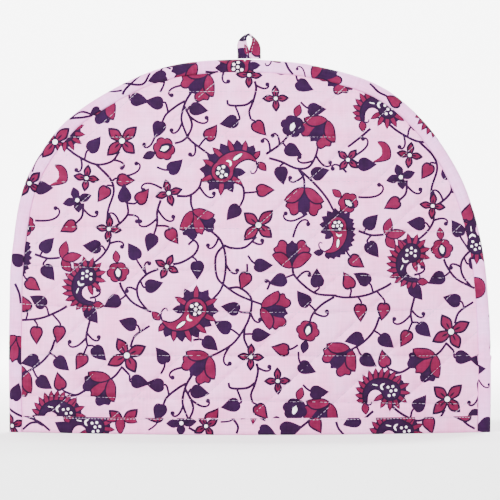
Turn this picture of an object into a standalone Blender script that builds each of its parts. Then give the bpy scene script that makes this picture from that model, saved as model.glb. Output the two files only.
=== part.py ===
# Quilted tea cosy: two dome panels bound together round the dome and open at the hem,
# standing on its hem with the panels bowed apart. +X is to the right, -Y faces the
# viewer, +Z is up, and the origin is on the floor in the middle of the hem.
# Sizes below are in millimetres.

from collections import namedtuple
from math import cos, radians, sin

import bpy
import numpy as np

MM = 0.001
GAP = 0.3                    # clearance between pieces that are sewn to each other

# The rim of the dome as seen from the front: half-widths each side of the middle
Rim = namedtuple("Rim", "height left right")
RIM = (
    Rim(0.0, 168.0, 168.6),
    Rim(71.0, 168.4, 168.4),
    Rim(133.0, 165.6, 162.1),
    Rim(178.0, 155.8, 148.1),
    Rim(200.0, 143.2, 135.5),
    Rim(217.0, 129.2, 122.2),
    Rim(239.4, 97.0, 96.3),
    Rim(256.0, 57.1, 47.3),
)
CROWN_X = -9.0
CROWN_HEIGHT = 260.8
RIM_STEPS = 16               # points worked out between two rows of the table

# How the cosy stands: each panel bows out this far from the plane of the seam
BOW = 45.0
BOW_FALL = 2.6               # power by which the bow closes towards the crown

# Binding round the dome, a folded strip
EDGE_WIDTH = 9.0
BINDING_WALL = 1.0
SEAM_OUT = 3.2               # outer face of a panel, from the middle, where it is sewn in
SEAM_IN = 1.6                # its inner face at the stitching
SEAM_RIM = 0.15              # its inner face at the rim, where the panels meet
FOLD_CHAMFER = 1.1

# Binding along each hem, inside which the sheet is flat and upright
HEM_HEIGHT = 11.5
HEM_CHAMFER = 0.8
HEM_TOP = HEM_HEIGHT + GAP
HEM_RAMP = 8.0               # height above the binding over which the quilting fills out

# Quilting: level rows, and rows that rise to the right
Level = namedtuple("Level", "left middle right")
LEVELS = (
    Level(26.0, 23.5, 19.5),
    Level(54.0, 54.5, 53.5),
    Level(90.0, 84.5, 87.5),
    Level(117.0, 112.0, 107.0),
    Level(144.0, 142.0, 139.5),
    Level(175.0, 175.0, 174.5),
    Level(206.5, 206.0, 206.5),
    Level(238.0, 238.0, 238.0),
)
RISE = 0.9                   # height gained per millimetre to the right
RISING_FIRST = -115.1        # height at which the lowest rising row crosses the middle
RISING_STEP = 42.35
RISING_COUNT = 11
LINE_SPAN = 165.0            # distance from the middle to a level row's left and right heights
PUFF = 2.2                   # how far the quilting stands out between its rows
PUFF_REACH = 15.5            # distance from a row to the top of the puff
PUFF_RAMP = 3.0
SHEET = 1.6                  # thickness along a row

# Soft dents and swells of the standing cloth
Swell = namedtuple("Swell", "x height reach_x reach_z depth")
FRONT_SWELLS = (
    Swell(-112.0, 62.0, 46.0, 58.0, -2.6),
    Swell(40.0, 96.0, 62.0, 70.0, 1.8),
    Swell(118.0, 128.0, 30.0, 60.0, -1.8),
    Swell(-60.0, 176.0, 42.0, 34.0, 1.4),
)
BACK_SWELLS = (
    Swell(88.0, 70.0, 50.0, 56.0, -2.4),
    Swell(-46.0, 110.0, 64.0, 66.0, 1.8),
    Swell(30.0, 186.0, 44.0, 30.0, 1.2),
)

# The panel's net of faces
COLUMNS = 40
ROWS = 30
SHOULDER_HEIGHT = 212.0      # height where the net's sides end and its top begins
BEND_FROM = 0.45             # share of the net's height above which its rows follow the dome
FOOT = BINDING_WALL + GAP    # height of a panel's lower edge

# Hanging loop: middle line of the tape, and how far its face is turned from the viewer
Tape = namedtuple("Tape", "x height turn")
LOOP = (
    Tape(-4.9, 261.3, 4.0),
    Tape(-5.0, 264.6, 10.0),
    Tape(-5.9, 269.0, 50.0),
    Tape(-5.7, 273.0, 80.0),
    Tape(-3.9, 276.6, 87.0),
    Tape(-1.0, 278.4, 90.0),
    Tape(2.0, 276.5, 93.0),
    Tape(3.9, 272.6, 102.0),
    Tape(4.6, 268.6, 132.0),
    Tape(4.2, 264.4, 170.0),
    Tape(4.3, 261.3, 176.0),
)
TAPE_WIDTH = 7.4
TAPE_THICKNESS = 1.5
LOOP_STEPS = 3

# Colours as measured on the cloth, sRGB
GROUND = "#e7cedf"
EDGE_CLOTH = "#dcc4db"
HEM_CLOTH = "#e1c5d8"
LOOP_CLOTH = "#6b4480"


def linear(hex_colour):
    """An sRGB hex colour as linear red, green, blue and alpha."""
    parts = [int(hex_colour[i:i + 2], 16) / 255 for i in (1, 3, 5)]
    return [c / 12.92 if c <= 0.04045 else ((c + 0.055) / 1.055) ** 2.4 for c in parts] + [1.0]


def smooth_curve(points, steps):
    """Points of a smooth curve through the given ones, each row a point."""
    points = np.array(points, float)
    spans = np.linalg.norm(np.diff(points[:, :2], axis=0), axis=1)
    slopes = np.diff(points, axis=0) / spans[:, None]
    ahead, behind = spans[1:, None], spans[:-1, None]
    middle = (slopes[:-1] * ahead + slopes[1:] * behind) / (ahead + behind)
    tangents = np.vstack([slopes[:1], middle, slopes[-1:]])
    curve = [points[0]]
    for i, span in enumerate(spans):
        for k in range(1, steps + 1):
            t = k / steps
            curve.append(
                (2 * t**3 - 3 * t**2 + 1) * points[i]
                + (t**3 - 2 * t**2 + t) * span * tangents[i]
                + (3 * t**2 - 2 * t**3) * points[i + 1]
                + (t**3 - t**2) * span * tangents[i + 1]
            )
    return np.array(curve)


def rim_points():
    left = [(-row.left, row.height) for row in RIM]
    right = [(row.right, row.height) for row in reversed(RIM)]
    return smooth_curve(left + [(CROWN_X, CROWN_HEIGHT)] + right, RIM_STEPS)


def inward(curve):
    """Unit directions across the rim, pointing into the dome."""
    along = np.gradient(curve, axis=0)
    along[0] = (0.0, 1.0)
    along[-1] = (0.0, -1.0)
    along /= np.linalg.norm(along, axis=1)[:, None]
    return np.column_stack([along[:, 1], -along[:, 0]])


OUTER_RIM = rim_points()
ACROSS = inward(OUTER_RIM)
STITCH_LINE = OUTER_RIM + ACROSS * (EDGE_WIDTH + GAP)
PANEL_RIM = OUTER_RIM + ACROSS * (BINDING_WALL + GAP)
CROWN = int(np.argmax(STITCH_LINE[:, 1]))
PLACES = np.arange(len(OUTER_RIM), dtype=float)


def left_place(height):
    """Place along the rim where its left stitch line is at this height."""
    return np.interp(height, STITCH_LINE[:CROWN + 1, 1], PLACES[:CROWN + 1])


def right_place(height):
    return np.interp(height, STITCH_LINE[:CROWN - 1:-1, 1], PLACES[:CROWN - 1:-1])


def top_place(x):
    return np.interp(x, STITCH_LINE[:, 0], PLACES)


def at(curve, place):
    return np.array([np.interp(place, PLACES, curve[:, 0]), np.interp(place, PLACES, curve[:, 1])])


def bow(x, height):
    """How far a panel stands out from its seam, at a point seen from the front."""
    crown_height = STITCH_LINE[CROWN, 1]
    if height >= crown_height:
        return 0.0
    low_x = at(STITCH_LINE, left_place(height))[0]
    high_x = at(STITCH_LINE, right_place(height))[0]
    across = (x - (low_x + high_x) / 2) / ((high_x - low_x) / 2)
    fall = 1 - (height / crown_height) ** BOW_FALL
    return BOW * fall * max(0.0, 1 - across**2)


def swell(x, height, swells):
    total = 0.0
    for s in swells:
        far = ((x - s.x) / s.reach_x) ** 2 + ((height - s.height) / s.reach_z) ** 2
        total += s.depth * np.exp(-far)
    return total


def row_distances(x, height):
    """Distances to the nearest level row and to the nearest rising row of quilting."""
    t = x / LINE_SPAN
    levels = []
    for row in LEVELS:
        line = row.middle + (row.right - row.left) / 2 * t
        line += ((row.right + row.left) / 2 - row.middle) * t * t
        levels.append(abs(height - line))
    slant = height - RISE * x - RISING_FIRST
    nearest = min(max(round(slant / RISING_STEP), 0), RISING_COUNT - 1)
    rising = abs(slant - nearest * RISING_STEP) / (1 + RISE**2) ** 0.5
    return min(levels), rising


def puff(x, height):
    """How far the quilting stands out here, from 0 on a row to 1 between rows."""
    level, rising = row_distances(x, height)
    return (min(1.0, level / PUFF_REACH) * min(1.0, rising / PUFF_REACH)) ** 0.5


def sheet_faces(x, height, swells):
    """Distances of a panel's inner and outer faces from the plane of the seam."""
    height = max(height, HEM_TOP)
    step = 0.5
    depth = bow(x, height)
    lean_x = (bow(x + step, height) - bow(x - step, height)) / (2 * step)
    lean_z = (bow(x, height + step) - bow(x, height - step)) / (2 * step)
    lean = (1 + lean_x**2 + lean_z**2) ** 0.5
    free = 1 - np.exp(-depth / PUFF_RAMP)
    above_hem = min(1.0, (height - HEM_TOP) / HEM_RAMP)
    raised = PUFF * puff(x, height) * free * above_hem
    inner = SEAM_IN + depth + swell(x, height, swells) * free - raised * lean / 3
    return inner, inner + (SHEET + raised * 4 / 3) * lean


def net():
    """Front-view points of a panel's net inside the stitch line, and its places on the rim."""
    heights = [FOOT] + list(np.linspace(HEM_TOP, SHOULDER_HEIGHT, ROWS))
    shoulder_left = at(STITCH_LINE, left_place(SHOULDER_HEIGHT))[0]
    shoulder_right = at(STITCH_LINE, right_place(SHOULDER_HEIGHT))[0]
    points = []
    for height in heights:
        share = (height / SHOULDER_HEIGHT - BEND_FROM) / (1 - BEND_FROM)
        bend = max(0.0, share) ** 2
        left = at(STITCH_LINE, left_place(height))[0]
        right = at(STITCH_LINE, right_place(height))[0]
        row = []
        for i in range(COLUMNS + 1):
            top_x = shoulder_left + (shoulder_right - shoulder_left) * i / COLUMNS
            rise = at(STITCH_LINE, top_place(top_x))[1] - SHOULDER_HEIGHT
            row.append((left + (right - left) * i / COLUMNS, height + rise * bend))
        points.append(row)
    places = [left_place(height) for height in heights]
    places += [top_place(x) for x, height in points[-1][1:-1]]
    places += [right_place(height) for height in reversed(heights)]
    return points, places


def new_object(name, vertices, faces, colour, roughness):
    mesh = bpy.data.meshes.new(name)
    mesh.from_pydata([[c * MM for c in v] for v in vertices], [], faces)
    mesh.update()
    mesh.shade_smooth()
    mesh.set_sharp_from_angle(angle=radians(40))
    material = bpy.data.materials.new(name)
    material.use_nodes = True
    shader = material.node_tree.nodes["Principled BSDF"]
    shader.inputs["Base Color"].default_value = linear(colour)
    shader.inputs["Roughness"].default_value = roughness
    shader.inputs["Metallic"].default_value = 0.0
    mesh.materials.append(material)
    obj = bpy.data.objects.new(name, mesh)
    bpy.context.collection.objects.link(obj)
    return obj


def swept(name, sections, colour):
    """A closed strip through equal sections, with its two ends filled."""
    size = len(sections[0])
    vertices = [point for section in sections for point in section]
    faces = []
    for k in range(len(sections) - 1):
        a, b = k * size, (k + 1) * size
        for i in range(size):
            j = (i + 1) % size
            faces.append((a + i, a + j, b + j, b + i))
    last = (len(sections) - 1) * size
    faces.append(tuple(reversed(range(size))))
    faces.append(tuple(last + i for i in range(size)))
    return new_object(name, vertices, faces, colour, 0.9)


def quilted_panel(name, side, swells):
    """A dome panel as one closed sheet. side is -1 for the front and 1 for the back."""
    points, places = net()
    vertices = []
    outer, inner = {}, {}
    last_row = len(points) - 1

    def add(store, key, x, y, height):
        store[key] = len(vertices)
        vertices.append((x, side * y, height))

    for j, row in enumerate(points):
        for i, (x, height) in enumerate(row):
            sewn = i in (0, COLUMNS) or j == last_row
            near, far = (SEAM_IN, SEAM_OUT) if sewn else sheet_faces(x, height, swells)
            add(outer, (i, j), x, far, height)
            add(inner, (i, j), x, near, height)

    ring = [(0, j) for j in range(last_row + 1)]
    ring += [(i, last_row) for i in range(1, COLUMNS)]
    ring += [(COLUMNS, j) for j in range(last_row, -1, -1)]
    for k, place in enumerate(places):
        x, height = at(PANEL_RIM, place)
        if k in (0, len(places) - 1):
            height = FOOT
        add(outer, k, x, SEAM_OUT, height)
        add(inner, k, x, SEAM_RIM, height)

    faces = []
    for store, turned in ((outer, False), (inner, True)):
        skin = []
        for j in range(last_row):
            for i in range(COLUMNS):
                skin.append([store[i, j], store[i + 1, j], store[i + 1, j + 1], store[i, j + 1]])
        for k in range(len(ring) - 1):
            skin.append([store[ring[k]], store[ring[k + 1]], store[k + 1], store[k]])
        faces += [face[::-1] for face in skin] if turned else skin
    for k in range(len(ring) - 1):
        faces.append([outer[k], outer[k + 1], inner[k + 1], inner[k]])
    foot = [0] + [(i, 0) for i in range(COLUMNS + 1)] + [len(ring) - 1]
    for a, b in zip(foot, foot[1:]):
        faces.append([outer[a], inner[a], inner[b], outer[b]])
    if side > 0:
        faces = [face[::-1] for face in faces]
    return new_object(name, vertices, faces, GROUND, 0.9)


def edge_binding():
    """The folded strip that closes over both panels' rims, from floor to floor."""
    out = SEAM_OUT + GAP + BINDING_WALL
    inside = SEAM_OUT + GAP
    profile = [
        (EDGE_WIDTH, out), (FOLD_CHAMFER, out), (0.0, out - FOLD_CHAMFER),
        (0.0, FOLD_CHAMFER - out), (FOLD_CHAMFER, -out), (EDGE_WIDTH, -out),
        (EDGE_WIDTH, -inside), (BINDING_WALL, -inside), (BINDING_WALL, inside), (EDGE_WIDTH, inside),
    ]
    places = net()[1]
    places[0], places[-1] = PLACES[0], PLACES[-1]
    sections = []
    for place in places:
        rim, across = at(OUTER_RIM, place), at(ACROSS, place)
        across /= np.linalg.norm(across)
        sections.append([(rim[0] + across[0] * s, y, rim[1] + across[1] * s) for s, y in profile])
    return swept("edge_binding", sections, EDGE_CLOTH)


def hem_binding(name, side, swells):
    """The folded strip that closes over one panel's lower edge."""
    sections = []
    for i, (x, height) in enumerate(net()[0][0]):
        sewn = i in (0, COLUMNS)
        near, far = (SEAM_IN, SEAM_OUT) if sewn else sheet_faces(x, height, swells)
        out, back = far + GAP + BINDING_WALL, near - GAP - BINDING_WALL
        profile = [
            (out, HEM_HEIGHT), (out, HEM_CHAMFER), (out - HEM_CHAMFER, 0.0),
            (back + HEM_CHAMFER, 0.0), (back, HEM_CHAMFER), (back, HEM_HEIGHT),
            (near - GAP, HEM_HEIGHT), (near - GAP, BINDING_WALL),
            (far + GAP, BINDING_WALL), (far + GAP, HEM_HEIGHT),
        ]
        section = [(x, side * y, z) for y, z in profile]
        sections.append(section[::-1] if side > 0 else section)
    return swept(name, sections, HEM_CLOTH)


def hang_loop():
    """The tape at the crown, whose legs stand side by side and turn their faces to the viewer."""
    path = smooth_curve([(t.x, t.height, t.turn) for t in LOOP], LOOP_STEPS)
    along = np.gradient(path[:, :2], axis=0)
    sections = []
    for (x, height, turn), (dx, dz) in zip(path, along):
        width = np.array([cos(radians(turn)), -sin(radians(turn)), 0.0])
        normal = np.cross(width, np.array([dx, 0.0, dz]))
        normal *= TAPE_THICKNESS / 2 / np.linalg.norm(normal)
        width = width * TAPE_WIDTH / 2
        middle = np.array([x, 0.0, height])
        corners = [middle - width + normal, middle + width + normal,
                   middle + width - normal, middle - width - normal]
        sections.append([tuple(corner) for corner in corners])
    return swept("hang_loop", sections, LOOP_CLOTH)


def main():
    for obj in list(bpy.data.objects):
        bpy.data.objects.remove(obj)
    quilted_panel("front_panel", -1, FRONT_SWELLS)
    quilted_panel("back_panel", 1, BACK_SWELLS)
    edge_binding()
    hem_binding("hem_binding_front", -1, FRONT_SWELLS)
    hem_binding("hem_binding_back", 1, BACK_SWELLS)
    hang_loop()


main()
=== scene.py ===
from collections import namedtuple
from math import atan2, cos, degrees, pi, radians, sin

import bpy
import numpy as np
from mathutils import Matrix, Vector
from mathutils.geometry import delaunay_2d_cdt


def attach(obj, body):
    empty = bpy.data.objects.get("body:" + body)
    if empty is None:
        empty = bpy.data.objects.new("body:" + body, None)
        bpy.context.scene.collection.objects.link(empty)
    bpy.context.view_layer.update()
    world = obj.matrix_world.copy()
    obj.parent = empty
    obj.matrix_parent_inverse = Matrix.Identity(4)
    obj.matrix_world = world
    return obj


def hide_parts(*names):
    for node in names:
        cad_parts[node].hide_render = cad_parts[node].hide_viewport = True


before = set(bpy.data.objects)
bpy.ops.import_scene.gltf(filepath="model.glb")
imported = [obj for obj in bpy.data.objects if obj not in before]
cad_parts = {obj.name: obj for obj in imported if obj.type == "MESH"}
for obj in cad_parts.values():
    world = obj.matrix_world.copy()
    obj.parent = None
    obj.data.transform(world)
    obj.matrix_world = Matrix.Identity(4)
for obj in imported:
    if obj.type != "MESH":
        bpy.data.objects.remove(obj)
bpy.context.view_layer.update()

print("frame loaded")

# Lengths in this script are in millimetres, turned to metres when a mesh is made
mm = 0.001


def linearColour(hexColour):
    parts = [int(hexColour[i:i + 2], 16) / 255 for i in (1, 3, 5)]
    return [c / 12.92 if c <= 0.04045 else ((c + 0.055) / 1.055) ** 2.4 for c in parts] + [1.0]


# The dome's measures, the same as its solids have
dome = {
    "rim": (  # height, half-width to the left, half-width to the right
        (0.0, 168.0, 168.6), (71.0, 168.4, 168.4), (133.0, 165.6, 162.1), (178.0, 155.8, 148.1),
        (200.0, 143.2, 135.5), (217.0, 129.2, 122.2), (239.4, 97.0, 96.3), (256.0, 57.1, 47.3)),
    "crown": (-9.0, 260.8),
    "rimSteps": 16,
    "bow": 45.0,             # how far a panel stands out from the seam at the hem
    "bowFall": 2.6,
    "stripWidth": 9.3,       # from the rim to the seam of the edge binding
    "panelInset": 1.3,       # from the rim to a panel's own edge
    "seamOut": 3.2,          # outer and inner face of a panel where it is sewn in
    "seamIn": 1.6,
    "hemTop": 11.8,
    "hemRamp": 8.0,
    "foot": 1.3,
}

quilting = {
    "levels": (  # height of each level row at the left, in the middle and at the right
        (26.0, 23.5, 19.5), (54.0, 54.5, 53.5), (90.0, 84.5, 87.5), (117.0, 112.0, 107.0),
        (144.0, 142.0, 139.5), (175.0, 175.0, 174.5), (206.5, 206.0, 206.5), (238.0, 238.0, 238.0)),
    "span": 165.0,           # from the middle to a level row's left and right heights
    "rise": 0.9,             # height gained per millimetre along a rising row
    "first": -115.1,
    "step": 42.35,
    "count": 11,
    "puff": 2.2,
    "reach": 15.5,
    "ramp": 3.0,
    "sheet": 1.6,
    "pull": 1.0,             # how far the thread draws the cloth in
    "trough": 1.6,           # half-width of the trough that this makes
    "pucker": 0.4,           # height of the small puckers beside a row
    "puckerLong": 7.5,
    "puckerReach": 5.0,
    "slowWaves": 0.6,        # height of the wadding's slow and quick unevenness
    "quickWaves": 0.35,
    "thinnest": 0.4,
}

frontSwells = (  # x, height, reach in x, reach in height, depth
    (-112.0, 62.0, 46.0, 58.0, -2.6), (40.0, 96.0, 62.0, 70.0, 1.8),
    (118.0, 128.0, 30.0, 60.0, -1.8), (-60.0, 176.0, 42.0, 34.0, 1.4))
backSwells = (
    (88.0, 70.0, 50.0, 56.0, -2.4), (-46.0, 110.0, 64.0, 66.0, 1.8), (30.0, 186.0, 44.0, 30.0, 1.2))
creases = (  # where the cloth is caught in the seam: from, to, depth, half-width
    ((-136.0, 201.0), (-146.0, 179.0), 1.1, 1.5), ((-127.0, 213.0), (-117.0, 207.0), 0.8, 1.4),
    ((-149.5, 158.0), (-139.0, 150.0), 0.6, 1.8), ((146.0, 150.0), (137.0, 160.0), 0.8, 1.8),
    ((155.0, 96.0), (140.0, 88.0), 0.6, 2.2), ((158.0, 74.0), (146.0, 80.0), 0.7, 1.8),
    ((-158.0, 100.0), (-146.0, 97.0), 0.5, 2.0), ((120.0, 212.0), (110.0, 203.0), 0.6, 1.8),
    ((158.0, 30.0), (146.0, 36.0), 0.6, 2.0), ((-158.0, 44.0), (-147.0, 39.0), 0.5, 1.8))


def smoothCurve(points, steps):
    points = np.array(points, float)
    spans = np.linalg.norm(np.diff(points[:, :2], axis=0), axis=1)
    slopes = np.diff(points, axis=0) / spans[:, None]
    ahead, behind = spans[1:, None], spans[:-1, None]
    middle = (slopes[:-1] * ahead + slopes[1:] * behind) / (ahead + behind)
    tangents = np.vstack([slopes[:1], middle, slopes[-1:]])
    curve = [points[0]]
    for i, span in enumerate(spans):
        for k in range(1, steps + 1):
            t = k / steps
            curve.append((2 * t**3 - 3 * t**2 + 1) * points[i] + (t**3 - 2 * t**2 + t) * span * tangents[i]
                         + (3 * t**2 - 2 * t**3) * points[i + 1] + (t**3 - t**2) * span * tangents[i + 1])
    return np.array(curve)


def unitRows(rows):
    return rows / np.maximum(np.linalg.norm(rows, axis=1), 1e-9)[:, None]


def lengthAlong(line):
    return np.concatenate([[0.0], np.cumsum(np.linalg.norm(np.diff(line, axis=0), axis=1))])


def rowsAt(where, places, rows):
    return np.column_stack([np.interp(where, places, rows[:, k]) for k in range(rows.shape[1])])


leftRim = [(-left, height) for height, left, right in dome["rim"]]
rightRim = [(right, height) for height, left, right in reversed(dome["rim"])]
outerRim = smoothCurve(leftRim + [dome["crown"]] + rightRim, dome["rimSteps"])
rimAlong = np.gradient(outerRim, axis=0)
rimAlong[0], rimAlong[-1] = (0.0, 1.0), (0.0, -1.0)
rimAlong = unitRows(rimAlong)
rimInward = np.column_stack([rimAlong[:, 1], -rimAlong[:, 0]])
rimLength = lengthAlong(outerRim)
stitchLine = outerRim + rimInward * dome["stripWidth"]
panelRim = outerRim + rimInward * dome["panelInset"]
stitchCrown = int(np.argmax(stitchLine[:, 1]))
crownHeight = stitchLine[stitchCrown, 1]


def seamSides(z):
    low = np.interp(z, stitchLine[:stitchCrown + 1, 1], stitchLine[:stitchCrown + 1, 0])
    high = np.interp(z, stitchLine[:stitchCrown - 1:-1, 1], stitchLine[:stitchCrown - 1:-1, 0])
    return low, high


def bowDepth(x, z):
    low, high = seamSides(z)
    across = (x - (low + high) / 2) / np.maximum((high - low) / 2, 0.5)
    fall = np.maximum(0.0, 1 - (np.clip(z, 0, None) / crownHeight) ** dome["bowFall"])
    return dome["bow"] * fall * np.maximum(0.0, 1 - across**2)


def levelHeight(row, x):
    left, middle, right = row
    t = x / quilting["span"]
    return middle + (right - left) / 2 * t + ((right + left) / 2 - middle) * t * t


def quiltRows(x, z):
    q = quilting
    level = np.abs(np.array([z - levelHeight(row, x) for row in q["levels"]])).min(axis=0)
    slant = z - q["rise"] * x - q["first"]
    nearest = np.clip(np.round(slant / q["step"]), 0, q["count"] - 1)
    rising = np.abs(slant - nearest * q["step"]) / (1 + q["rise"]**2) ** 0.5
    return level, rising


def softNoise(x, z, size, seed):
    # A sum of slow waves in all directions
    rng = np.random.default_rng(seed)
    total = np.zeros_like(x)
    for k in range(7):
        turn, phase = rng.uniform(0, 2 * pi, 2)
        long = size * rng.uniform(0.7, 1.6)
        total += np.sin((x * cos(turn) + z * sin(turn)) * 2 * pi / long + phase)
    return total / 7


def panelDepths(x, z, swells, seed):
    # Inner and outer face of a panel, as distances from the plane of its seam
    q = quilting
    height = np.maximum(z, dome["hemTop"])
    step = 0.5
    depth = bowDepth(x, height)
    leanX = (bowDepth(x + step, height) - bowDepth(x - step, height)) / (2 * step)
    leanZ = (bowDepth(x, height + step) - bowDepth(x, height - step)) / (2 * step)
    lean = np.sqrt(1 + leanX**2 + leanZ**2)
    free = 1 - np.exp(-depth / q["ramp"])
    aboveHem = np.clip((height - dome["hemTop"]) / dome["hemRamp"], 0, 1)
    level, rising = quiltRows(x, height)
    puff = np.sqrt(np.minimum(1, level / q["reach"]) * np.minimum(1, rising / q["reach"]))
    near = np.minimum(level, rising)
    swell = np.zeros_like(x)
    for sx, sz, rx, rz, d in swells:
        swell += d * np.exp(-((x - sx) / rx) ** 2 - ((height - sz) / rz) ** 2)
    raised = q["puff"] * puff * free * aboveHem
    inner = dome["seamIn"] + depth + swell * free - raised * lean / 3
    outer = inner + (q["sheet"] + raised * 4 / 3) * lean
    ridge = np.sin((x + 0.4 * height) * 2 * pi / q["puckerLong"] + 3 * softNoise(x, height, 40, seed))
    fine = q["pucker"] * np.exp(-near / q["puckerReach"]) * ridge
    fine -= q["pull"] * np.exp(-(near / q["trough"]) ** 2)
    slow, quick = softNoise(x, height, 46, seed + 1), softNoise(x, height, 17, seed + 2)
    fine += q["slowWaves"] * slow + q["quickWaves"] * quick
    # Each crease is a trough with a ridge beside it, deepest a third of the way along
    fold = np.zeros_like(x)
    for (ax, az), (bx, bz), deep, wide in creases:
        long = ((bx - ax)**2 + (bz - az)**2) ** 0.5
        ux, uz = (bx - ax) / long, (bz - az) / long
        t = ((x - ax) * ux + (height - az) * uz) / long
        off = (x - ax) * uz - (height - az) * ux
        fade = np.clip(1 - np.abs(t - 0.35) / 0.75, 0, 1)
        beside = np.exp(-((off - 2.0 * wide) / (1.2 * wide)) ** 2)
        fold += fade * deep * (beside - 1.3 * np.exp(-(off / wide) ** 2))
    outer = outer + (fine * free + fold * np.sqrt(free)) * aboveHem
    return inner, np.maximum(outer, inner + q["thinnest"])


# The print: inks of a block-printed cotton, and shapes drawn in millimetres. Each piece states its own
# ground, bleached cotton dyed mauve
inks = {
    "outline": "#1c0926",    # near-black purple, printed first
    "crimson": "#641136",
    "purple": "#240a2d",
    "white": "#fbf2fa",      # cloth left bare inside a motif
}
lineWidths = {  # from the start of a drawn line to its end
    "vine": (1.85, 1.65),
    "hem vine": (1.8, 1.6),
    "stem": (1.55, 1.55),
    "tendril": (1.7, 1.3),
    "curl": (1.5, 0.9),
}


def placed(points, x, z, turn=0.0, size=1.0, flip=False):
    points = np.array(points, float) * size
    if flip:
        points = points * (1, -1)
    c, s = cos(radians(turn)), sin(radians(turn))
    return points @ np.array([[c, s], [-s, c]]) + (x, z)


def smoothed(points, steps=4, closed=False):
    points = np.array(points, float)
    if closed:
        padded = np.vstack([points[-1:], points, points[:2]])
    else:
        padded = np.vstack([2 * points[0] - points[1], points, 2 * points[-1] - points[-2]])
    line = []
    for a, b, c, d in zip(padded, padded[1:], padded[2:], padded[3:]):
        for k in range(steps):
            t = k / steps
            line.append(0.5 * (2 * b + (c - a) * t + (2 * a - 5 * b + 4 * c - d) * t * t
                               + (3 * b - a - 3 * c + d) * t**3))
    if not closed:
        line.append(points[-1])
    return np.array(line)


def leftOf(line):
    along = unitRows(np.gradient(line, axis=0))
    return np.column_stack([-along[:, 1], along[:, 0]])


def strokeShapes(line, widths, ink="purple"):
    # A drawn line as a chain of four-sided pieces
    half = np.interp(np.linspace(0, 1, len(line)), np.linspace(0, 1, len(widths)), widths)[:, None] / 2
    across = leftOf(line)
    a, b = line + across * half, line - across * half
    return [(ink, np.array([a[i], b[i], b[i + 1], a[i + 1]])) for i in range(len(line) - 1)]


def disc(x, z, radius, sides=9):
    angles = np.arange(sides) * 2 * pi / sides
    return np.column_stack([x + radius * np.cos(angles), z + radius * np.sin(angles)])


def petal(long, wide, belly=0.5):
    # A pointed petal along its own x, from its root at 0
    half = np.array([(0.0, 0.0), (0.2, 0.34), (belly, 0.5), (0.8, 0.29), (1.0, 0.0)]) * (long, wide)
    upper = smoothed(half, 3)
    return np.vstack([upper, (upper * (1, -1))[-2:0:-1]])


def tooth(long, wide):
    # A petal cut off blunt where it meets the body
    half = np.array([(0.0, 0.36), (0.34, 0.5), (0.66, 0.42), (1.0, 0.0)]) * (long, wide)
    upper = smoothed(half, 3)
    return np.vstack([upper, (upper * (1, -1))[-2::-1]])


def heart(long, wide):
    # A leaf with a shallow notch at its stem and a pointed tip
    half = smoothed([(-0.44, 0.0), (-0.49, 0.16), (-0.40, 0.38), (-0.14, 0.49), (0.18, 0.34), (0.58, 0.0)], 3)
    upper = half * (long, wide)
    return np.vstack([upper, (upper * (1, -1))[-2:0:-1]])


def shrunk(loop, by):
    middle = (loop.min(axis=0) + loop.max(axis=0)) / 2
    reach = np.linalg.norm(loop - middle, axis=1)[:, None]
    return middle + (loop - middle) * np.maximum(0.1, 1 - by / reach)


def lined(ink, loop, line=0.8):
    # A filled shape with its dark outline
    return [("outline", loop), (ink, shrunk(loop, line))]


def leafShapes(ink):
    loop = heart(12.5, 10.2)
    return [(ink, loop)] if ink == "purple" else lined(ink, loop, 1.4)


def flowerShapes(ink, petals, width, eye):
    # Pointed petals of the given lengths, each with a short vein, round a bare eye
    shapes = [("outline" if ink == "crimson" else ink, placed(petal(long, width, 0.52), 0, 0, turn))
              for turn, long in petals]
    for turn, long in petals:
        fill = placed(petal(long - 3.4, width - 2.9, 0.55), 1.3, 0)
        vein = placed(petal(long * 0.34, 1.3), eye + 0.4, 0)
        shapes += [(ink, placed(fill, 0, 0, turn)), ("outline", placed(vein, 0, 0, turn))]
    return shapes + [("outline", disc(0, 0, eye + 0.9, 12)), ("white", disc(0, 0, eye, 11))]


def scallopShapes(ink, budInk):
    # A round flower with six scallops, a bud above it and a drop in its middle
    radius = 8.8
    angles = np.arange(42) * 2 * pi / 42
    wave = 0.84 + 0.16 * np.abs(np.sin(angles * 3)) ** 0.7
    edge = np.column_stack([np.cos(angles) * 0.9, np.sin(angles)]) * (radius * wave)[:, None]
    shapes = lined(budInk, placed(petal(radius * 1.16, radius * 0.72), radius * 0.72, 0), 0.9)
    shapes += [("outline", edge), (ink, edge * (1 - (0.2 if ink == "purple" else 1.15) / radius))]
    if ink == "crimson":
        shapes.append(("outline", placed(petal(10.8, 6.8, 0.6), -6.4, 0)))
    return shapes + [("white", placed(petal(6.4, 3.4, 0.62), -3.6, 0))]


def tulipShapes(lobeInk, cupInk):
    # A tulip seen from the side, opening along its own x: its cup, two lobes and the two outer petals
    lobe = [(-3.5, 2.4), (-2.0, 8.0), (0.4, 12.4), (3.2, 13.0), (4.9, 10.6), (8.2, 9.4), (9.4, 6.6),
            (7.4, 3.4), (2.5, 2.2)]
    cup = [(-8.6, 0.0), (-4.5, 2.9), (0.5, 4.2), (5.4, 3.8), (6.9, 1.8), (8.8, -0.2), (7.0, -1.8),
           (6.0, -3.8), (0.5, -4.2), (-4.5, -2.9)]
    outer = [(-10.6, -0.6), (-10.6, 5.0), (-7.4, 9.6), (-1.4, 14.2), (0.8, 10.0), (0.2, 5.8), (-3.6, 1.6)]
    shapes = []
    for outline, ink, sides in ((lobe, lobeInk, (1, -1)), (cup, cupInk, (1,)), (outer, "crimson", (1, -1))):
        for side in sides:
            loop = smoothed(np.array(outline) * (1, side), 2, closed=True)
            shapes += [(ink, loop)] if ink == "purple" else lined(ink, loop, 1.2)
    return shapes


def budShapes():
    shapes = []
    for turn, long in ((-64, 11.5), (64, 13.5), (0, 15.0)):
        shapes += lined("crimson", placed(petal(long, 7.6), 0, 0, turn), 0.95)
    return shapes


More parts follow.
